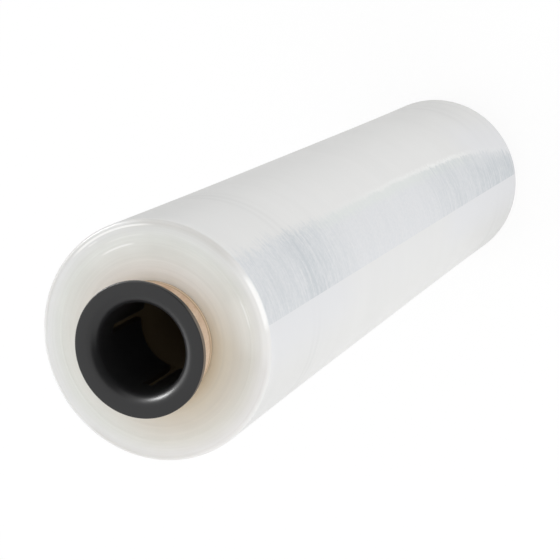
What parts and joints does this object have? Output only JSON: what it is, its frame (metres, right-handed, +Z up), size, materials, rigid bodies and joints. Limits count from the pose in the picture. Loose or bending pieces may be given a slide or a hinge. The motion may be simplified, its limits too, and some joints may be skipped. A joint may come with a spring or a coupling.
{
  "type": "stretch wrap roll",
  "caption": "Hand roll of clear stretch film on a cardboard core, with a flanged black plastic plug in each end of the core to turn on a dispenser's spindle.",
  "frame": {"origin": "middle of the face of the bottom plug's flange, which the roll stands on", "axes": "+Z up the roll's axis, towards the end that the picture shows; the film's loose edge lies towards -Y"},
  "size_m": [0.116, 0.1163, 0.536],
  "materials": {
    "film": "gloss",
    "core": "matte",
    "plug": "matte"
  },
  "bodies": {
    "root": {"film_roll": "film", "core_tube": "core", "end_plug_top": "plug", "end_plug_bottom": "plug"}
  },
  "joints": []
}
